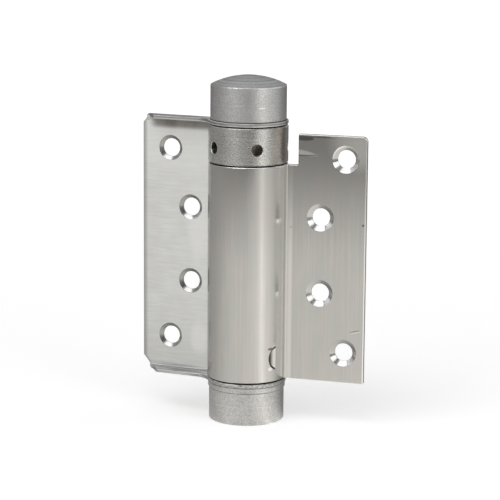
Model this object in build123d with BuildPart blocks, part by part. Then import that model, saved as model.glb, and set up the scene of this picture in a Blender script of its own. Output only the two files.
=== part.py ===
from build123d import *
from math import acos, cos, degrees, radians, sin, sqrt
import os

os.makedirs("parts", exist_ok=True)

# Single-action spring hinge with a rolled barrel leaf and a folded frame leaf.
# The pivot axis is Z and the origin lies on it, at mid height of the barrel leaf.
# The frame leaf runs along -X, and the countersunk sides of both leaves face -Y.
# All sizes are in millimetres and all angles in degrees.

# Sheets of the barrel leaf and of the frame leaf, and the rounding of their sheared edges
sheet = 1.45
frame_sheet = 1.1
sheared_edge = 0.25
plate_edge = 0.3

# Barrel leaf
leaf_height = 75.0
leaf_reach = 36.8
leaf_front = 0.45
barrel_diameter = 24.1
neck_radius = 1.2
seam_angle = 6.2
notch_height = 9.3
notch_reach = 15.75
notch_corner = 0.4
leaf_corner = 1.5

# Angle between the leaves as they lie at rest, and where the barrel leaf then points
open_angle = 186.0
leaf_angle = open_angle - 180.0

# Frame leaf
frame_reach = 35.55
frame_set_back = 1.0
frame_bend = 1.2
flange_front = 4.0
lower_corner_reach, lower_corner_length = 6.9, 8.2
upper_corner_reach, upper_corner_length = 5.9, 7.2
eye_fillet = 6.0
barrel_room = 0.8

# Screw holes of both leaves
screw_hole = 5.5
sink_angle = 105.0
barrel_sink = 8.3
frame_sink = 7.6
outer_pitch = 58.8
inner_pitch = 23.0
barrel_row_margin = 6.4
barrel_row_step = 7.6
frame_row_margin = 9.35
frame_row_step = 6.75
barrel_hole_rise = 1.1
frame_hole_rise = 1.45

# Lanced tab that locks the spring anchor in the barrel
tab_height = 6.9
tab_depth = 2.3
tab_kerf = 0.3
tab_press = 30.0
tab_rise = 7.25
tab_angle = -26.5
lance_edge = 0.45

# Spindle, caps and washers
spindle_diameter = 8.0
cap_step = 0.6
top_cap_side = 10.45
dome_rise = 2.8
bottom_cap_side = 10.0
cap_rim = 0.5
cap_seat_edge = 0.25
cap_floor = 3.0
ring_step = 0.3
ring_height = 1.8
ring_edge = 0.3
lower_washer_height = 0.9
upper_washer_height = 0.4

# Tension collar
collar_height = 11.2
collar_edge = 0.3
spigot_length = 8.0
bar_hole = 3.5
bar_hole_depth = 5.0
bar_hole_rise = 4.75
bar_hole_count = 5
bar_hole_angle = -53.9
bar_hole_edge = 0.2

# Bushes and spring anchor
bush_wall = 1.5
upper_bush_length = 16.0
anchor_length = 12.0
anchor_edge = 0.4

# Torsion spring
wire = 2.8
coil_turns = 14
leg_length = 4.5

# Clearances
swing_gap = 0.4
collar_gap = 0.35
running_fit = 0.05
spigot_fit = 0.1
fixed_fit = 0.02
leg_fit = 0.15
coil_gap = 0.3
tab_room = 0.4
washer_room = 0.4
coil_room = 1.4

# Radii that follow from the sizes above
barrel_radius = barrel_diameter / 2
barrel_bore = barrel_radius - sheet
spindle_radius = spindle_diameter / 2
cap_radius = barrel_radius - cap_step
ring_radius = barrel_radius - ring_step
washer_radius = barrel_bore - washer_room
coil_radius = barrel_bore - coil_room - wire / 2
eye_bore = spindle_radius + fixed_fit
bush_bore = spindle_radius + running_fit
bush_radius = bush_bore + bush_wall
bush_seat = bush_radius + fixed_fit
screw_radius = screw_hole / 2

# Levels along the pivot, from the foot of the barrel leaf upwards and downwards
leaf_bottom = -leaf_height / 2
leaf_top = leaf_height / 2
barrel_top = leaf_top - notch_height
lower_eye_top = leaf_bottom - swing_gap
lower_eye_bottom = lower_eye_top - frame_sheet
ring_bottom = lower_eye_bottom - ring_height
bottom_cap_end = ring_bottom - bottom_cap_side
anchor_bottom = lower_eye_top + lower_washer_height
anchor_top = anchor_bottom + anchor_length
collar_bottom = barrel_top + collar_gap
collar_top = collar_bottom + collar_height
spigot_bottom = collar_bottom - spigot_length
upper_eye_bottom = collar_top + upper_washer_height
upper_eye_top = upper_eye_bottom + frame_sheet
cap_shoulder = upper_eye_top + top_cap_side
dome_top = cap_shoulder + dome_rise
spindle_top = cap_shoulder - cap_floor
spindle_bottom = bottom_cap_end + cap_floor
tab_level = leaf_bottom + tab_rise

# Directions of the barrel leaf at rest: along it, and out of its back
leaf_along = Vector(cos(radians(leaf_angle)), sin(radians(leaf_angle)), 0)
leaf_back = Vector(-sin(radians(leaf_angle)), cos(radians(leaf_angle)), 0)
leaf_plan = Plane(origin=(0, 0, leaf_bottom), x_dir=leaf_along, z_dir=(0, 0, 1))
leaf_face = Plane(origin=leaf_back * -leaf_front, x_dir=leaf_along, z_dir=-leaf_back)

# The sheet leaves the leaf in a small reverse bend and then rolls round the barrel
neck_middle = neck_radius + sheet / 2
roll_middle = barrel_radius - sheet / 2
neck_side = neck_radius + leaf_front
neck_reach = sqrt((roll_middle + neck_middle) ** 2 - neck_side**2)
neck_turn = degrees(acos(neck_side / (roll_middle + neck_middle)))
roll_turn = 270.0 + neck_turn - seam_angle

# Plane on the barrel wall at the tab's hinge line, looking out of the barrel
tab_out = Vector(cos(radians(leaf_angle + tab_angle)), sin(radians(leaf_angle + tab_angle)), 0)
tab_along = Vector(tab_out.Y, -tab_out.X, 0)
tab_origin = tab_out * barrel_radius + Vector(0, 0, tab_level)
tab_plane = Plane(origin=tab_origin, x_dir=tab_along, z_dir=tab_out)
press_in = sin(radians(tab_press))
press_along = cos(radians(tab_press))
pressed_plane = Plane(
    origin=tab_origin,
    x_dir=tab_along * press_along - tab_out * press_in,
    z_dir=tab_out * press_along + tab_along * press_in,
)


def screw_pattern(outer_row, row_step, hole_rise):
    """Places of four staggered screw holes: two in the outer row and two in a row nearer the barrel."""
    places = []
    for side in (-1, 1):
        places.append((outer_row, hole_rise + side * outer_pitch / 2))
        places.append((outer_row + row_step, hole_rise + side * inner_pitch / 2))
    return places


# Barrel leaf: one strip with a flat leaf, a neck bend and a rolled barrel, locked by a tab
with BuildPart() as barrel_leaf:
    with BuildSketch(leaf_plan):
        with BuildLine():
            neck = JernArc(
                start=(neck_reach, sheet / 2 - leaf_front),
                tangent=(-1, 0),
                radius=neck_middle,
                arc_size=neck_turn,
            )
            JernArc(start=neck @ 1, tangent=neck % 1, radius=roll_middle, arc_size=-roll_turn)
        trace(line_width=sheet)
    extrude(amount=leaf_height - notch_height)
    with BuildSketch(leaf_face) as outline:
        with BuildLine():
            Polyline(
                (neck_reach, leaf_bottom),
                (leaf_reach, leaf_bottom),
                (leaf_reach, leaf_top),
                (notch_reach, leaf_top),
                (notch_reach, barrel_top),
                (neck_reach, barrel_top),
                close=True,
            )
        make_face()
        fillet(outline.vertices().sort_by_distance((leaf_reach, leaf_top))[0], leaf_corner)
        fillet(outline.vertices().sort_by_distance((notch_reach, barrel_top))[0], notch_corner)
    extrude(amount=-sheet)
    with Locations(leaf_face):
        with Locations(*screw_pattern(leaf_reach - barrel_row_margin, -barrel_row_step, barrel_hole_rise)):
            CounterSinkHole(screw_radius, barrel_sink / 2, sheet, sink_angle)
    with BuildSketch(tab_plane):
        with BuildLine():
            edge = ThreePointArc((0, -tab_height / 2), (tab_depth, 0), (0, tab_height / 2))
            Line(edge @ 0, edge @ 1)
        make_face()
    extrude(amount=-2 * sheet, mode=Mode.SUBTRACT)
    with BuildSketch(pressed_plane):
        with BuildLine():
            tip = tab_height / 2 - tab_kerf
            edge = ThreePointArc((0, -tip), (tab_depth - tab_kerf, 0), (0, tip))
            Line(edge @ 0, edge @ 1)
        make_face()
    extrude(amount=-sheet)
    tab_mouth = barrel_leaf.edges().sort_by_distance(tab_origin + tab_along * tab_depth)[0]
    fillet(tab_mouth, lance_edge)
    fillet(barrel_leaf.edges().filter_by(GeomType.CIRCLE).sort_by(SortBy.RADIUS)[-2:], sheared_edge)
    front = barrel_leaf.faces().filter_by(leaf_face).sort_by(Axis(leaf_face.origin, leaf_face.z_dir))[-1]
    front_rim = front.outer_wire().edges().sort_by(Axis(leaf_face.origin, leaf_face.x_dir))
    fillet(front_rim[1:], sheared_edge)
barrel_leaf.part.label = "barrel_leaf"
export_step(barrel_leaf.part, "parts/barrel_leaf.step")

# Frame leaf: a plate with a flange folded forward at each end, and an eye on each flange
plate_middle = frame_set_back + frame_sheet / 2
frame_inner = barrel_radius + barrel_room
frame_bottom_middle = lower_eye_top - frame_sheet / 2
frame_top_middle = upper_eye_bottom + frame_sheet / 2
bend_outside = frame_bend + frame_sheet
bend_length = radians(90) * (frame_bend + frame_sheet / 2)
fold_start = frame_set_back - frame_bend
flange_flat = flange_front + fold_start
folded_ends = (
    (-1, lower_eye_bottom, lower_eye_bottom, lower_corner_reach, lower_corner_length),
    (1, upper_eye_bottom, upper_eye_top, upper_corner_reach, upper_corner_length),
)

with BuildPart() as frame_leaf:
    with BuildSketch(Plane.YZ.offset(-frame_reach)):
        with BuildLine():
            FilletPolyline(
                (-flange_front, frame_bottom_middle),
                (plate_middle, frame_bottom_middle),
                (plate_middle, frame_top_middle),
                (-flange_front, frame_top_middle),
                radius=frame_bend + frame_sheet / 2,
            )
        trace(line_width=frame_sheet)
    extrude(amount=frame_reach - frame_inner)
    for side, eye_level, tip, corner_reach, corner_length in folded_ends:
        flange_end = frame_reach - corner_reach
        corner_slope = corner_reach / corner_length
        corner_on_plate = corner_length - bend_length - flange_flat + bend_outside
        with BuildSketch(Plane.XY.offset(eye_level)) as eye:
            Circle(barrel_radius)
            with BuildLine():
                Polyline(
                    (-flange_end, -flange_front),
                    (0, -flange_front),
                    (0, fold_start),
                    (-flange_end, fold_start),
                    close=True,
                )
            make_face()
            meeting = (-sqrt(barrel_radius**2 - flange_front**2), -flange_front)
            fillet(eye.vertices().sort_by_distance(meeting)[0], eye_fillet)
            Circle(eye_bore, mode=Mode.SUBTRACT)
        extrude(amount=frame_sheet)
        with BuildSketch(Plane.XY.offset(eye_level)):
            with BuildLine():
                Polyline(
                    (-flange_end, -flange_front),
                    (-flange_end - flange_flat * corner_slope, fold_start),
                    (-frame_reach, fold_start),
                    (-frame_reach, -flange_front),
                    close=True,
                )
            make_face()
        extrude(amount=frame_sheet, mode=Mode.SUBTRACT)
        with BuildSketch(Plane.XZ.offset(-frame_set_back - frame_sheet)):
            with BuildLine():
                Polyline(
                    (-frame_reach, tip),
                    (-frame_reach + corner_on_plate * corner_slope, tip),
                    (-frame_reach, tip - side * corner_on_plate),
                    close=True,
                )
            make_face()
        extrude(amount=bend_outside, mode=Mode.SUBTRACT)
    plate_face = Plane(origin=(0, frame_set_back, 0), x_dir=(1, 0, 0), z_dir=(0, -1, 0))
    with Locations(plate_face):
        with Locations(*screw_pattern(frame_row_margin - frame_reach, frame_row_step, frame_hole_rise)):
            CounterSinkHole(screw_radius, frame_sink / 2, frame_sheet, sink_angle)
    fillet(frame_leaf.edges().filter_by(GeomType.CIRCLE).sort_by(SortBy.RADIUS)[-4:], sheared_edge)
    front = frame_leaf.faces().filter_by(plate_face).sort_by(SortBy.AREA)[-2:].sort_by(Axis.Y)[0]
    fillet(front.outer_wire().edges().sort_by(Axis.X)[:3], plate_edge)
frame_leaf.part.label = "frame_leaf"
export_step(frame_leaf.part, "parts/frame_leaf.step")

# Spindle: plain bar through both eyes, fixed in the two caps
with BuildPart() as spindle:
    with BuildSketch(Plane.XY.offset(spindle_bottom)):
        Circle(spindle_radius)
    extrude(amount=spindle_top - spindle_bottom)
spindle.part.label = "spindle"
export_step(spindle.part, "parts/spindle.step")

# Top cap: turned, with a shallow domed end and a blind seat for the spindle
with BuildPart() as top_cap:
    with BuildSketch(Plane.XZ) as section:
        with BuildLine():
            TangentArc((0, dome_top), (cap_radius, cap_shoulder), tangent=(1, 0))
            Polyline(
                (cap_radius, cap_shoulder),
                (cap_radius, upper_eye_top + cap_seat_edge),
                (cap_radius - cap_seat_edge, upper_eye_top),
                (eye_bore, upper_eye_top),
                (eye_bore, spindle_top),
                (0, spindle_top),
                (0, dome_top),
            )
        make_face()
        fillet(section.vertices().sort_by_distance((cap_radius, cap_shoulder))[0], cap_rim)
    revolve(axis=Axis.Z)
top_cap.part.label = "top_cap"
export_step(top_cap.part, "parts/top_cap.step")

# Bottom cap: the same turned cap with a flat end
with BuildPart() as bottom_cap:
    with BuildSketch(Plane.XZ) as section:
        with BuildLine():
            Polyline(
                (eye_bore, ring_bottom),
                (cap_radius - cap_seat_edge, ring_bottom),
                (cap_radius, ring_bottom - cap_seat_edge),
                (cap_radius, bottom_cap_end),
                (0, bottom_cap_end),
                (0, spindle_bottom),
                (eye_bore, spindle_bottom),
                close=True,
            )
        make_face()
        fillet(section.vertices().sort_by_distance((cap_radius, bottom_cap_end))[0], cap_rim)
    revolve(axis=Axis.Z)
bottom_cap.part.label = "bottom_cap"
export_step(bottom_cap.part, "parts/bottom_cap.step")

# Seat ring: thick washer between the lower eye and the bottom cap
with BuildPart() as seat_ring:
    with BuildSketch(Plane.XY.offset(ring_bottom)):
        Circle(ring_radius)
        Circle(eye_bore, mode=Mode.SUBTRACT)
    extrude(amount=ring_height)
    chamfer(seat_ring.edges().filter_by(GeomType.CIRCLE).sort_by(SortBy.RADIUS)[-2:], ring_edge)
seat_ring.part.label = "seat_ring"
export_step(seat_ring.part, "parts/seat_ring.step")

# Thrust washers that carry the barrel and the collar between the two eyes
with BuildPart() as lower_thrust_washer:
    with BuildSketch(Plane.XY.offset(lower_eye_top)):
        Circle(washer_radius)
        Circle(bush_bore, mode=Mode.SUBTRACT)
    extrude(amount=lower_washer_height)
lower_thrust_washer.part.label = "lower_thrust_washer"
export_step(lower_thrust_washer.part, "parts/lower_thrust_washer.step")

with BuildPart() as upper_thrust_washer:
    with BuildSketch(Plane.XY.offset(collar_top)):
        Circle(washer_radius)
        Circle(bush_bore, mode=Mode.SUBTRACT)
    extrude(amount=upper_washer_height)
upper_thrust_washer.part.label = "upper_thrust_washer"
export_step(upper_thrust_washer.part, "parts/upper_thrust_washer.step")

# Tension collar: a head with holes for a tommy bar, and a spigot that centres the barrel
leg_seat_depth = leg_length + coil_gap
leg_seat = wire / 2 + leg_fit
with BuildPart() as tension_collar:
    with BuildSketch(Plane.XZ) as section:
        with BuildLine():
            Polyline(
                (bush_seat, spigot_bottom),
                (barrel_bore - spigot_fit, spigot_bottom),
                (barrel_bore - spigot_fit, collar_bottom),
                (barrel_radius, collar_bottom),
                (barrel_radius, collar_top),
                (bush_seat, collar_top),
                close=True,
            )
        make_face()
        chamfer(section.vertices().group_by(Axis.X)[-1], collar_edge)
        chamfer(section.vertices().group_by(Axis.Y)[0].sort_by(Axis.X)[-1], collar_edge)
    revolve(axis=Axis.Z)
    bar_places = []
    for count in range(bar_hole_count):
        turn = radians(bar_hole_angle + 360 / bar_hole_count * count)
        outward = Vector(cos(turn), sin(turn), 0)
        middle = outward * barrel_radius + Vector(0, 0, collar_bottom + bar_hole_rise)
        bar_places.append(Plane(origin=middle, z_dir=outward))
    with Locations(*bar_places):
        Hole(bar_hole / 2, bar_hole_depth)
    chamfer(tension_collar.edges().filter_by(GeomType.BSPLINE), bar_hole_edge)
    with BuildSketch(Plane.XY.offset(spigot_bottom)):
        with Locations((-coil_radius, 0)):
            Circle(leg_seat)
    extrude(amount=leg_seat_depth, mode=Mode.SUBTRACT)
tension_collar.part.label = "tension_collar"
export_step(tension_collar.part, "parts/tension_collar.step")

# Spring anchor: a plug in the foot of the barrel, with a pocket for the tab
with BuildPart() as spring_anchor:
    with BuildSketch(Plane.XY.offset(anchor_bottom)):
        Circle(barrel_bore - spigot_fit)
        Circle(bush_seat, mode=Mode.SUBTRACT)
    extrude(amount=anchor_length)
    rims = spring_anchor.edges().filter_by(GeomType.CIRCLE).sort_by(SortBy.RADIUS)[-2:]
    chamfer(rims, anchor_edge)
    with BuildSketch(tab_plane):
        with Locations((tab_depth + tab_room, 0)):
            Rectangle(tab_depth + tab_room + sheet, tab_height + 2 * tab_room, align=(Align.MAX, Align.CENTER))
    pocket_depth = sheet + (tab_depth + sheet) * press_in + tab_room
    extrude(amount=-pocket_depth, mode=Mode.SUBTRACT)
    with BuildSketch(Plane.XY.offset(anchor_top)):
        with Locations((-coil_radius, 0)):
            Circle(leg_seat)
    extrude(amount=-leg_seat_depth, mode=Mode.SUBTRACT)
spring_anchor.part.label = "spring_anchor"
export_step(spring_anchor.part, "parts/spring_anchor.step")

# Bushes in the collar and in the spring anchor
with BuildPart() as upper_bush:
    with BuildSketch(Plane.XY.offset(collar_top - upper_bush_length)):
        Circle(bush_radius)
        Circle(bush_bore, mode=Mode.SUBTRACT)
    extrude(amount=upper_bush_length)
upper_bush.part.label = "upper_bush"
export_step(upper_bush.part, "parts/upper_bush.step")

with BuildPart() as lower_bush:
    with BuildSketch(Plane.XY.offset(anchor_bottom)):
        Circle(bush_radius)
        Circle(bush_bore, mode=Mode.SUBTRACT)
    extrude(amount=anchor_length)
lower_bush.part.label = "lower_bush"
export_step(lower_bush.part, "parts/lower_bush.step")

# Torsion spring: close coils of round wire, with a straight leg into each seat
coil_start = anchor_top + coil_gap + wire / 2
coil_end = spigot_bottom - coil_gap - wire / 2
coil_height = coil_end - coil_start
with BuildPart() as torsion_spring:
    with BuildLine(Plane(origin=(0, 0, coil_start), x_dir=(-1, 0, 0), z_dir=(0, 0, 1))):
        coil = Helix(pitch=coil_height / coil_turns, height=coil_height, radius=coil_radius)
    with BuildSketch(Plane(origin=coil @ 0, z_dir=coil % 0)):
        Circle(wire / 2)
    sweep(path=coil, is_frenet=True)
    for level, way in ((coil_start, -1), (coil_end, 1)):
        with Locations((-coil_radius, 0, level)):
            Sphere(wire / 2)
        with BuildSketch(Plane.XY.offset(level)):
            with Locations((-coil_radius, 0)):
                Circle(wire / 2)
        extrude(amount=way * (leg_length + wire / 2))
torsion_spring.part.label = "torsion_spring"
export_step(torsion_spring.part, "parts/torsion_spring.step")
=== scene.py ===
from math import cos, pi, radians, sin

import bmesh
import bpy
from mathutils import Matrix, Quaternion, Vector


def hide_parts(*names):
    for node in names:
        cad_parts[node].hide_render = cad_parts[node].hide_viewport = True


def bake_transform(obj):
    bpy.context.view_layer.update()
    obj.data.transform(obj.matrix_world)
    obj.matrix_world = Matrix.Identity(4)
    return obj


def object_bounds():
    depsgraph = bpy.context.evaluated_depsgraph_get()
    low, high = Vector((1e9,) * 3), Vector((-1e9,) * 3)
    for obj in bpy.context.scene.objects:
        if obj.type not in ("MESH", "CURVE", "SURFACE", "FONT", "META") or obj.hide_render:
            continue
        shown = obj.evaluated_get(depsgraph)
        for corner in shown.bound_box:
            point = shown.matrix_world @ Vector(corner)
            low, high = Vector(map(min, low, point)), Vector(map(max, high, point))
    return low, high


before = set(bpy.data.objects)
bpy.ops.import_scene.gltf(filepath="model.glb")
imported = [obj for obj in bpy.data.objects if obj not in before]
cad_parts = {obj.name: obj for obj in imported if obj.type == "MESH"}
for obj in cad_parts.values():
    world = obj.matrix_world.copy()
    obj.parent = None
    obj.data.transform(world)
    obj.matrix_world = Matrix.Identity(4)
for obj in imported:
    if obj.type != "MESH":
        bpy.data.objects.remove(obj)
cad_low, cad_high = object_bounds()

# Places on the hinge that the finishes follow, in metres and degrees
LEAF_ANGLE = 6.0
FLOOR_LEVEL = cad_low[2]
COLLAR_FOOT, COLLAR_TOP = 0.02855, 0.03975
CAP_SHOULDER = 0.0517
BORE_INSIDE, BORE_RADIUS = 0.0114, 0.0118
SINK_RIM, SINK_DEPTH = 0.00015, 0.00104
OUTER_HALF, INNER_HALF = 0.0294, 0.0115
BARREL_HOLE_RISE, BARREL_OUTER_ROW, BARREL_INNER_ROW, BARREL_SINK = 0.0011, 0.0304, 0.0228, 0.00415
FRAME_HOLE_RISE, FRAME_OUTER_ROW, FRAME_INNER_ROW, FRAME_SINK = 0.00145, -0.0262, -0.01945, 0.0038
FRAME_REACH, FRAME_FRONT, BARREL_FRONT = 0.03555, 0.001, -0.00045


class Value:
    """One output socket. Arithmetic on it adds Math nodes to its tree."""

    def __init__(self, nodes, socket):
        self.nodes, self.socket = nodes, socket

    def math(self, operation, *others):
        return self.nodes.node("Math", {"operation": operation}, dict(enumerate((self, *others))))

    def __add__(self, other):
        return self.math("ADD", other)

    def __sub__(self, other):
        return self.math("SUBTRACT", other)

    def __rsub__(self, other):
        return self.nodes.node("Math", {"operation": "SUBTRACT"}, {0: other, 1: self})

    def __mul__(self, other):
        return self.math("MULTIPLY", other)

    def __truediv__(self, other):
        return self.math("DIVIDE", other)

    def __pow__(self, other):
        return self.math("POWER", other)

    __radd__ = __add__
    __rmul__ = __mul__

    def least(self, other):
        return self.math("MINIMUM", other)

    def most(self, other):
        return self.math("MAXIMUM", other)

    def step(self, low, high):
        """0 below low and 1 above high, smooth between them."""
        return self.nodes.node(
            "MapRange",
            {"interpolation_type": "SMOOTHSTEP"},
            {"Value": self, "From Min": low, "From Max": high},
        )

    def band(self, start, full, fading, end):
        """0 outside start and end, 1 between full and fading."""
        return self.step(start, full) * (1 - self.step(fading, end))


class Nodes:
    """The node tree of one finish, of the floor or of the world."""

    def __init__(self, tree):
        self.tree = tree
        tree.nodes.clear()

    def node(self, kind, settings=None, inputs=None, output=0):
        """Adds a node, sets its settings and then its sockets, and gives one of its outputs."""
        made = self.tree.nodes.new("ShaderNode" + kind)
        for name, setting in (settings or {}).items():
            setattr(made, name, setting)
        for name, value in (inputs or {}).items():
            if isinstance(value, Value):
                self.tree.links.new(value.socket, made.inputs[name])
            else:
                made.inputs[name].default_value = value
        return Value(self, made.outputs[output]) if made.outputs else None

    def end(self, kind, shader):
        """Joins a shader to the tree's output."""
        self.node(kind, None, {"Surface": shader})

    def split(self, vector):
        return [self.node("SeparateXYZ", None, {0: vector}, part) for part in range(3)]

    def mix(self, factor, first, second):
        """Blend of two colours, which may be links or four numbers."""
        inputs = {"Factor": factor, 6: first, 7: second}
        return self.node("Mix", {"data_type": "RGBA"}, inputs, 2)

    def noise(self, place, scale, detail=2.0, roughness=0.5):
        inputs = {"Vector": place, "Scale": scale, "Detail": detail, "Roughness": roughness}
        return self.node("TexNoise", None, inputs)


class Finish(Nodes):
    """A procedural material with one Principled shader, read on Object coordinates."""

    def __init__(self, name, **constants):
        self.material = bpy.data.materials.new(name)
        self.material.use_nodes = True
        super().__init__(self.material.node_tree)
        self.place = self.node("TexCoord", None, None, "Object")
        self.constants = constants

    def stretch(self, scale, turn=(0, 0, 0), place=None):
        inputs = {"Vector": place or self.place, "Scale": scale, "Rotation": turn}
        return self.node("Mapping", None, inputs)

    def close(self, **varying):
        """Joins the shader's sockets, first the constant ones and then those that vary."""
        sockets = {name.replace("_", " "): value for name, value in {**self.constants, **varying}.items()}
        self.end("OutputMaterial", self.node("BsdfPrincipled", None, sockets))
        return self.material


def colour(level, warm=0.0, green=0.0):
    """A near-grey colour; warm leans from blue to brown, and green away from pink."""
    return (level * (1 + warm), level * (1 + green), level * (1 - warm), 1.0)


def degrees_from_front(east, north):
    """Bearing round the pivot: 0 in front of the leaves, 90 to the right."""
    return east.math("ARCTAN2", north * -1.0) * (180 / pi)


def hole_places(outer_row, inner_row, rise):
    """Centres of a leaf's four screw holes, along the leaf and upwards."""
    return [(row, rise + side * half) for row, half in ((outer_row, OUTER_HALF), (inner_row, INNER_HALF))
            for side in (-1, 1)]


class Sheet(Finish):
    """Brushed stainless sheet with turned countersinks. Along and up lie in the face of the leaf."""

    def __init__(self, name, lean, fine, broad, places, sink, front, **constants):
        super().__init__(name, Metallic=1.0, **constants)
        self.flat = self.stretch((1, 1, 1), (0, 0, radians(-lean)))
        self.along, self.out, self.up = self.split(self.flat)
        self.grain = self.noise(self.stretch(fine, place=self.flat), 1.0, 3.0, 0.6).step(0.3, 0.7)
        self.streaks = self.noise(self.stretch(broad, place=self.flat), 1.0, 2.0, 0.5).step(0.3, 0.7)
        patches = self.stretch((240, 240, 110), place=self.flat)
        self.cloud = self.noise(patches, 1.0, 2.0, 0.5).step(0.35, 0.7)
        away = self.nearest(places)
        self.on_face = 1 - self.out.step(front + 0.0003, front + 0.0004)
        in_hole = 1 - self.out.step(front + SINK_DEPTH, front + SINK_DEPTH + 0.00004)
        self.turned = (1 - away.step(sink, sink + SINK_RIM)) * in_hole
        self.rings = (away * 9000.0).math("SINE")

    def nearest(self, places, aside=0.0, above=0.0):
        """Distance to the nearest of the places, each of them moved aside and above."""
        away = None
        for row, rise in places:
            gap = ((self.along - (row + aside)) ** 2.0 + (self.up - (rise + above)) ** 2.0) ** 0.5
            away = gap if away is None else away.least(gap)
        return away

    def tones(self, dark, light, tint, streak_share, grain_share, sunk):
        """Base tone: faintly tinted patches, streaks, grain lines, and countersinks of their own."""
        tone = self.mix(self.cloud, light, tint)
        tone = self.mix(self.streaks * streak_share, tone, dark)
        tone = self.mix(self.grain * grain_share, tone, dark)
        return self.mix(self.turned, tone, sunk)

    def shine(self, tone, rough, rough_share, strength):
        rough = (self.grain + self.streaks) * rough_share + rough
        rough = (1 - self.turned) * rough + self.turned * 0.2
        brushed = (self.grain * 0.6 + self.streaks * 0.4) * (1 - self.turned)
        height = brushed + self.rings * self.turned * 0.15
        bump = self.node("Bump", None, {"Strength": strength, "Distance": 0.0001, "Height": height})
        return self.close(Base_Color=tone, Roughness=rough, Normal=bump)

    def spot(self, middle, reach, lean=0.0, soft=0.4):
        """1 in an ellipse on the front face, 0 outside, with a soft rim. Lean turns it, in degrees."""
        a, b = self.along - middle[0], self.up - middle[1]
        c, s = cos(radians(lean)), sin(radians(lean))
        u, v = (a * c + b * s) / reach[0], (b * c - a * s) / reach[1]
        return (1 - (u * u + v * v).step(1 - soft, 1 + soft)) * self.on_face


def frame_sheet():
    """Cross-brushed, matte frame leaf, with painted shade in the folds, along its left edge, on the flange
    and where the spindle's pieces bear on it.

    Its tone is painted lighter at the top and in two soft patches near the barrel, and darker at the foot.
    """
    sheet = Sheet(
        "cross_brushed_sheet", 0.0, (130, 3000, 3000), (110, 1100, 1100),
        hole_places(FRAME_OUTER_ROW, FRAME_INNER_ROW, FRAME_HOLE_RISE), FRAME_SINK, FRAME_FRONT,
        Anisotropic=0.6, Anisotropic_Rotation=0.25,
    )
    tone = sheet.tones(
        colour(0.7, 0.0, 0.02), colour(0.95, 0.0, 0.02), colour(0.92, 0.01, 0.005), 0.2, 0.3,
        colour(0.42, 0.01, 0.02),
    )
    # Painted shade: the leaf darker towards its foot.
    painted_shade_at_foot = 1 - sheet.up.step(-0.038, -0.012)
    tone = sheet.mix(painted_shade_at_foot * 0.3, tone, colour(0.6, 0.01))
    # Painted light: the leaf lighter towards its top, away from the countersinks.
    painted_light_at_top = sheet.up.step(0.018, 0.030) * (1 - sheet.turned)
    tone = sheet.mix(painted_light_at_top * 0.5, tone, colour(1.0, 0.0, 0.005))
    # Painted light: two soft, lighter patches near the barrel.
    for middle, reach in (((-0.0170, 0.0060), (0.0030, 0.009)), ((-0.0165, -0.0280), (0.0026, 0.005))):
        tone = sheet.mix(sheet.spot(middle, reach, 0, 1.0) * 0.6, tone, colour(1.0))
    # Painted shade, brownish, on the plate in the upper fold under the flange.
    painted_fold_shade = sheet.up.step(0.0362, 0.0380) * sheet.out.step(0.0, 0.0006) * sheet.on_face
    painted_fold_shade = painted_fold_shade * sheet.along.step(-0.0338, -0.0305)
    tone = sheet.mix(painted_fold_shade * (0.75 + sheet.cloud * 0.15), tone, colour(0.24, 0.09, -0.03))
    # Painted shade as dark lines in the lower fold.
    painted_shade_lines = sheet.noise(sheet.stretch((60, 4000, 4000)), 1.0, 2.0, 0.7).step(0.42, 0.58)
    painted_low_fold_shade = (1 - sheet.up.step(-0.0374, -0.0368)) * painted_shade_lines
    tone = sheet.mix(painted_low_fold_shade * 0.75, tone, colour(0.25, 0.02))
    # Painted shade along the rounded left edge and the cut lower corner.
    low_cut = (sheet.along + 0.0355) * 0.82 + (sheet.up + 0.0347) * 0.574
    rim = (1 - (sheet.along + FRAME_REACH).step(0.0002, 0.0019)).most(1 - low_cut.step(0.0001, 0.001))
    tone = sheet.mix(rim * 0.55, tone, colour(0.26, 0.01))
    # Painted shade along the flange's front edge, broken up by the grain.
    painted_flange_edge_shade = sheet.up.band(0.0403, 0.0405, 0.0408, 0.0410) * (0.5 + sheet.grain * 0.5)
    tone = sheet.mix(painted_flange_edge_shade * 0.8, tone, colour(0.2, 0.03))
    # Painted shade on the flange's top face.
    painted_flange_top_shade = sheet.up.step(0.0405, 0.0407) * (0.55 + sheet.cloud * 0.35)
    tone = sheet.mix(painted_flange_top_shade, tone, colour(0.36, 0.01))
    # Painted shade, near black, on the eyes inside the bore radius, where the spindle's pieces bear.
    radius = (sheet.along * sheet.along + sheet.out * sheet.out) ** 0.5
    tone = sheet.mix(1 - radius.step(BORE_INSIDE, BORE_RADIUS), tone, colour(0.04, 0.15))
    return sheet.shine(tone, 0.56, 0.02, 0.08)


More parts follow.
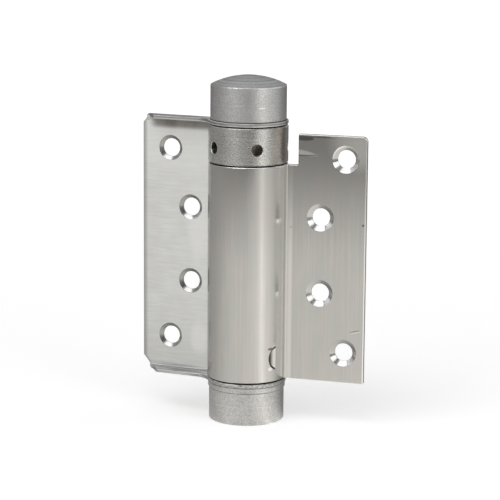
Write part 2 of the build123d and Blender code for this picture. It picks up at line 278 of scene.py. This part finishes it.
def barrel_sheet():
    """Long-brushed barrel leaf with fine lines, a scratch and specks, and a bore darkened with painted
    shade.

    Its tone is painted lighter at the top, at one corner and on one side of each countersink. Painted
    highlights and glints lie on the tab's lip, on a burr at the top edge, past the bend and along the far
    edge, with painted reflections of two countersinks on the barrel, and painted shade at the tab and in
    the bend.
    """
    places = hole_places(BARREL_OUTER_ROW, BARREL_INNER_ROW, BARREL_HOLE_RISE)
    sheet = Sheet(
        "long_brushed_sheet", LEAF_ANGLE, (3000, 3000, 45), (1400, 1400, 14),
        places, BARREL_SINK, BARREL_FRONT,
        Anisotropic=0.85,
    )
    tone = sheet.tones(
        colour(0.52, 0.012, 0.005), colour(0.645, 0.02, -0.008), colour(0.62, 0.0, 0.018), 0.08, 0.25,
        colour(0.52, 0.01, 0.01),
    )
    # Painted light: the leaf lighter towards its top, away from the countersinks.
    tone = sheet.mix(sheet.up.step(0.006, 0.030) * (1 - sheet.turned) * 0.45, tone, colour(0.85, 0.01))
    # Painted glint, white, on one side of each countersink.
    painted_sink_glint = (1 - sheet.nearest(places, 0.0014, -0.0010).step(0.0024, 0.0030)) * sheet.turned
    tone = sheet.mix(painted_sink_glint * 0.7, tone, colour(0.95))
    # Painted sheen at the upper far corner and a painted highlight in a lens-shaped patch below the top;
    # the finish is rougher there too.
    sheen = sheet.spot((0.0370, 0.0365), (0.0100, 0.0080), 0, 1.0)
    sheen = sheen.most(sheet.spot((0.0170, 0.0320), (0.0042, 0.0007), -9, 0.8))
    tone = sheet.mix(sheen * 0.9, tone, colour(0.95, 0.01, 0.01))
    black, white = colour(0.12, 0.05), colour(0.95, 0.02)
    # Marks, painted shade and painted glints: dark and light lines near the top, a scratch and two specks,
    # then the painted ones.
    marks_shade_and_glints = (
        ((0.0175, 0.0363), (0.0030, 0.0007), 0, 0.7, black),
        ((0.0230, 0.0368), (0.0040, 0.0002), 0, 0.5, black),
        ((0.0262, 0.0372), (0.0004, 0.0003), 0, 0.9, white),
        ((0.0182, 0.0312), (0.0032, 0.0002), 2, 0.6, black),
        ((0.0340, -0.0214), (0.0017, 0.0002), 14, 0.45, black),
        ((0.0342, -0.0218), (0.0017, 0.0002), 14, 0.4, white),
        ((0.0138, 0.0093), (0.0003, 0.0003), 0, 0.7, black),
        ((0.0360, 0.0110), (0.0004, 0.0004), 0, 0.7, black),
        # Painted shade at the top of the pressed tab, and a painted highlight on its lower lip.
        ((0.0097, -0.0272), (0.0006, 0.0004), 0, 0.8, black),
        ((0.0097, -0.0334), (0.0005, 0.0006), 0, 0.9, white),
        # Painted glint on a burr at the top edge near the notch.
        ((0.0119, 0.0280), (0.0008, 0.0003), 15, 0.9, white),
        # Painted reflections, pinkish, of two countersinks on the barrel.
        ((0.0113, 0.0116), (0.0004, 0.0007), 0, 0.4, colour(0.95, 0.08)),
        ((0.0109, -0.0102), (0.0003, 0.0005), 0, 0.4, colour(0.95, 0.08)),
    )
    for middle, reach, lean, share, ink in marks_shade_and_glints:
        tone = sheet.mix(sheet.spot(middle, reach, lean) * share, tone, ink)
    # Painted shade in the bend where the leaf leaves the barrel.
    painted_bend_shade = sheet.along.band(0.0118, 0.0120, 0.0123, 0.0126) * sheet.on_face
    tone = sheet.mix(painted_bend_shade * 0.35, tone, colour(0.3, 0.02))
    # Painted highlight just past that bend.
    painted_bend_highlight = sheet.along.band(0.0127, 0.0132, 0.0138, 0.0146) * sheet.on_face
    tone = sheet.mix(painted_bend_highlight * 0.5, tone, colour(0.95, 0.02))
    # Painted highlight along the far end edge of the leaf.
    tone = sheet.mix(sheet.along.step(0.0363, 0.0366) * 0.9, tone, colour(1.0))
    # Painted shade, near black, in the bore, on its end faces and on the pressed tab.
    radius = (sheet.along * sheet.along + sheet.out * sheet.out) ** 0.5
    tone = sheet.mix(1 - radius.step(0.0112, BORE_RADIUS), tone, colour(0.035, 0.15))
    return sheet.shine(tone, 0.17 + sheen * 0.22, 0.02, 0.05)


class Turned(Finish):
    """Turned steel: grooves round the pivot, a blasted mottle, and patches."""

    def __init__(self, name, mottle_scale=2600.0, **constants):
        super().__init__(name, Metallic=1.0, Anisotropic_Rotation=0.25, **constants)
        self.x, self.y, self.z = self.split(self.place)
        self.radius = (self.x * self.x + self.y * self.y) ** 0.5
        profile = self.node("CombineXYZ", None, {0: self.radius * 3000.0, 2: self.z * 3000.0})
        self.grooves = self.noise(profile, 1.0, 2.0, 0.6).step(0.3, 0.7)
        self.mottle = self.noise(self.place, mottle_scale, 2.0, 0.7).step(0.3, 0.7)
        self.cloud = self.noise(self.place, 170.0, 2.0, 0.5).step(0.3, 0.7)

    def tones(self, dark, light, tint, mottle_share, groove_share):
        tone = self.mix(self.cloud, light, tint)
        tone = self.mix(self.mottle * mottle_share, tone, dark)
        return self.mix(self.grooves * groove_share, tone, dark)

    def shine(self, tone, rough, mottle_share, groove_share, strength):
        rough = rough + self.mottle * mottle_share + self.grooves * groove_share
        height = self.mottle * 0.5 + self.grooves * 0.5
        bump = self.node("Bump", None, {"Strength": strength, "Distance": 0.0001, "Height": height})
        return self.close(Base_Color=tone, Roughness=rough, Normal=bump)


def cap_finish():
    """Blasted caps with three short painted glints, and coarser rings and a dark centre on the dome."""
    cap = Turned("blasted_cap_steel", Anisotropic=0.3)
    tone = cap.tones(colour(0.3), colour(0.86, -0.01, 0.01), colour(0.78, 0.01, -0.01), 0.5, 0.12)
    # Painted glints: short white lines on the side of the cap, at two bearings.
    painted_glints = ((43, 0.0494, 0.0007, 0.5), (43, 0.0457, 0.0012, 1), (8, 0.0464, 0.0017, 0.5))
    for bearing, level, half_width, share in painted_glints:
        c, s = cos(radians(bearing)), sin(radians(bearing))
        u, v = (cap.x * c + cap.y * s) / half_width, (cap.z - level) / 0.00022
        facing = (cap.x * s - cap.y * c).step(0, 0.001)
        tone = cap.mix((1 - (u * u + v * v).step(0.4, 1.5)) * facing * share, tone, colour(1.0))
    on_dome = cap.z.step(CAP_SHOULDER - 0.0001, CAP_SHOULDER + 0.0002)
    rings = cap.node("CombineXYZ", None, {0: cap.radius * 750.0})
    tone = cap.mix(on_dome * cap.noise(rings, 1.0, 2.0, 0.6).step(0.35, 0.65) * 0.65, tone, colour(0.24))
    centre = on_dome * (1 - cap.radius.step(0.0010, 0.0016))
    tone = cap.mix(centre * 0.7, tone, colour(0.2))
    return cap.shine(tone, 0.34, 0.14, 0.04, 0.35)


def collar_finish():
    """Turned collar with painted brown shade and a painted highlight in bands on one side, and painted
    shade in its holes and on its bearing faces.
    """
    collar = Turned("turned_collar_steel", Anisotropic=0.8)
    tone = collar.tones(colour(0.24, 0.02), colour(0.8, 0.0, 0.01), colour(0.7, 0.02), 0.5, 0.12)
    bearing = degrees_from_front(collar.x, collar.y)
    # Painted shade, brownish, in a band on the right side.
    painted_brown_shade = bearing.band(52, 68, 86, 100) * (0.3 + collar.cloud * 0.5)
    tone = collar.mix(painted_brown_shade, tone, colour(0.36, 0.14))
    # Painted highlight in a band further round on the right.
    tone = collar.mix(bearing.band(86, 96, 120, 150) * 0.6, tone, colour(0.95, 0.04))
    # Painted shade in the deeper half of the tommy-bar holes and on the spigot.
    inside = 1 - collar.radius.step(0.0096, 0.0112)
    tone = collar.mix(inside, tone, colour(0.3, 0.12))
    # Painted shade, near black, on the end faces inside the bore radius, where the collar bears.
    end_face = 1 - collar.z.band(COLLAR_FOOT, COLLAR_FOOT + 0.0002, COLLAR_TOP - 0.0002, COLLAR_TOP)
    bearing_face = end_face * (1 - collar.radius.step(BORE_INSIDE, BORE_RADIUS))
    tone = collar.mix(bearing_face, tone, colour(0.03, 0.12))
    return collar.shine(tone, 0.2, 0.08, 0.04, 0.35)


def plain_turned(name, dark, light, rough):
    """Plain turned or drawn metal of the pieces inside the barrel."""
    piece = Turned(name, 900.0, Anisotropic=0.3)
    tone = piece.tones(dark, light, light, 0.3, 0.3)
    return piece.shine(tone, rough, 0.1, 0.06, 0.1)


def nylon_finish():
    nylon = Finish("dark_nylon", Metallic=0.0)
    cloud = nylon.noise(nylon.place, 500.0, 3.0, 0.6)
    tone = nylon.mix(cloud, colour(0.015), colour(0.035))
    bump = nylon.node("Bump", None, {"Strength": 0.1, "Distance": 0.0001, "Height": cloud})
    return nylon.close(Base_Color=tone, Roughness=0.45 + cloud * 0.2, Normal=bump)


bar_steel = plain_turned("drawn_bar_steel", colour(0.42), colour(0.56), 0.25)
spring_steel = plain_turned("oiled_spring_steel", colour(0.14, 0.03), colour(0.26, 0.02), 0.35)
brass = plain_turned("turned_brass", (0.55, 0.38, 0.15, 1), (0.72, 0.55, 0.27, 1), 0.24)
cap_steel = cap_finish()
nylon = nylon_finish()
finishes = {
    "frame_leaf": frame_sheet(),
    "barrel_leaf": barrel_sheet(),
    "tension_collar": collar_finish(),
    "top_cap": cap_steel,
    "bottom_cap": cap_steel,
    "seat_ring": cap_steel,
    "spindle": bar_steel,
    "spring_anchor": bar_steel,
    "torsion_spring": spring_steel,
    "upper_bush": brass,
    "lower_bush": brass,
    "upper_thrust_washer": nylon,
    "lower_thrust_washer": nylon,
}

for node, material in finishes.items():
    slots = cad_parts[node].data.materials
    slots.clear()
    slots.append(material)


def wound_spring():
    """The torsion spring as a mesh of its own, with doubled points merged and smooth faces; in the hinge
    its lower leg is held in the barrel and its upper leg turns with the collar.

    Here it keeps the shape of the CAD part and does not twist as the collar turns.
    """
    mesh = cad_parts["torsion_spring"].data.copy()
    shape = bmesh.new()
    shape.from_mesh(mesh)
    bmesh.ops.remove_doubles(shape, verts=shape.verts, dist=1e-6)
    for face in shape.faces:
        face.smooth = True
    shape.to_mesh(mesh)
    shape.free()
    spring = bpy.data.objects.new("wound_spring", mesh)
    bpy.context.scene.collection.objects.link(spring)
    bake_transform(spring)
    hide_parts("torsion_spring")


wound_spring()

# Camera at the angle of the picture
CAMERA_PLACE = Vector((0.23548, -0.55039, 0.11722))
AZIMUTH, PITCH, ROLL = 23.09, 10.96, 0.466
LENS, SENSOR = 144.85, 36.0
camera = bpy.data.objects.new("camera", bpy.data.cameras.new("camera"))
camera.data.lens, camera.data.sensor_width = LENS, SENSOR
camera.data.clip_start, camera.data.clip_end = 0.05, 20.0
ahead = Vector((
    -sin(radians(AZIMUTH)) * cos(radians(PITCH)),
    cos(radians(AZIMUTH)) * cos(radians(PITCH)),
    -sin(radians(PITCH)),
))
camera.rotation_mode = "QUATERNION"
camera.rotation_quaternion = ahead.to_track_quat("-Z", "Y") @ Quaternion((0, 0, 1), radians(ROLL))
camera.location = CAMERA_PLACE
bpy.context.scene.collection.objects.link(camera)
bpy.context.scene.camera = camera


def soft_box(name, azimuth, elevation, distance, width, height, radiance):
    """Rectangular lamp that faces the hinge. Azimuth 0 is in front of the leaves, 90 to the right."""
    lamp = bpy.data.lights.new(name, "AREA")
    lamp.shape, lamp.size, lamp.size_y = "RECTANGLE", width, height
    lamp.energy = radiance * pi * width * height
    box = bpy.data.objects.new(name, lamp)
    a, e = radians(azimuth), radians(elevation)
    way = Vector((sin(a) * cos(e), -cos(a) * cos(e), sin(e)))
    box.location = way * distance
    box.rotation_mode = "QUATERNION"
    box.rotation_quaternion = (-way).to_track_quat("-Z", "Y")
    box.visible_camera = False
    bpy.context.scene.collection.objects.link(box)


soft_box("overhead_box", -13, 60, 1.2, 1.1, 0.47, 1.9)
soft_box("right_box", 66, 24, 1.2, 0.62, 0.6, 2.1)
soft_box("left_box", -25, 27, 1.2, 0.8, 0.5, 1.6)
soft_box("far_right_box", 122, 22, 1.2, 0.5, 0.5, 1.5)

# World: white for the camera, and a dim room for everything else, darker beside the camera
world = bpy.data.worlds.new("studio")
bpy.context.scene.world = world
world.use_nodes = True
sky = Nodes(world.node_tree)
east, north, up = sky.split(sky.node("TexCoord", None, None, "Generated"))
bearing = degrees_from_front(east, north)
beside_camera = bearing.band(8, 24, 38, 54) * (1 - up.step(0.5, 0.8))
seen = sky.node("LightPath", None, None, "Is Camera Ray")
room = (0.32 + up.step(0.2, 0.95) * 0.25) * (1 - beside_camera * 0.75)
strength = room * (1 - seen) + seen
sky.end("OutputWorld", sky.node("Background", None, {"Color": (1, 1, 1, 1), "Strength": strength}))

# Floor: white for the camera, with a faint shadow. In the metal it shows a painted pattern, light near the
# hinge and on both sides, and darker further off, behind the hinge and in front of the camera.
FLOOR_SIDE, GLOW = 6.0, 1.5
mesh = bpy.data.meshes.new("floor")
shape = bmesh.new()
bmesh.ops.create_grid(
    shape, x_segments=1, y_segments=1, size=FLOOR_SIDE / 2, matrix=Matrix.Translation((0, 0, FLOOR_LEVEL))
)
shape.to_mesh(mesh)
shape.free()
floor = bpy.data.objects.new("floor", mesh)
bpy.context.scene.collection.objects.link(floor)
material = bpy.data.materials.new("pale_floor")
material.use_nodes = True
base = Nodes(material.node_tree)
x, y = base.split(base.node("TexCoord", None, None, "Object"))[:2]
reach = (x**2.0 + y**2.0) ** 0.5
azimuth = degrees_from_front(x, y)
across = 0.45 + azimuth.step(-95, -10) * 0.31 + azimuth.step(5, 60) * 0.13
behind = azimuth.step(85, 138) * 0.76
camera_side = azimuth.band(-8, 20, 34, 54) * reach.step(0.48, 0.58)
gleam = azimuth.band(56, 62, 66, 74)
aside = (azimuth + 14).math("ABSOLUTE").step(8, 75)
falloff = 1 - reach.step(0.24, 0.56) * (0.72 - aside * 0.32)
far_left = 0.5 + azimuth.step(-120, -98) * 0.5
mirrored = falloff * (across * (1 - behind) + gleam * 0.5) * (1 - camera_side * 0.75) * far_left
lit = base.node("BsdfDiffuse", None, {"Color": (0.8, 0.8, 0.8, 1)})
tint = base.mix(mirrored / GLOW, (0, 0, 0, 1), (1.04, 1.01, 0.95, 1))
glow = base.node("Emission", None, {"Color": tint, "Strength": GLOW})
pale = base.mix(reach.step(0.05, 0.9), colour(0.4), colour(0.66))
white = base.node("Emission", None, {"Color": pale})
in_metal = base.node("LightPath", None, None, "Is Glossy Ray")
seen = base.node("LightPath", None, None, "Is Camera Ray")
others = base.node("MixShader", None, {0: in_metal, 1: lit, 2: glow})
shown = base.node("AddShader", None, {0: lit, 1: white})
base.end("OutputMaterial", base.node("MixShader", None, {0: seen, 1: others, 2: shown}))
mesh.materials.append(material)

bpy.context.scene.view_settings.view_transform = "Standard"
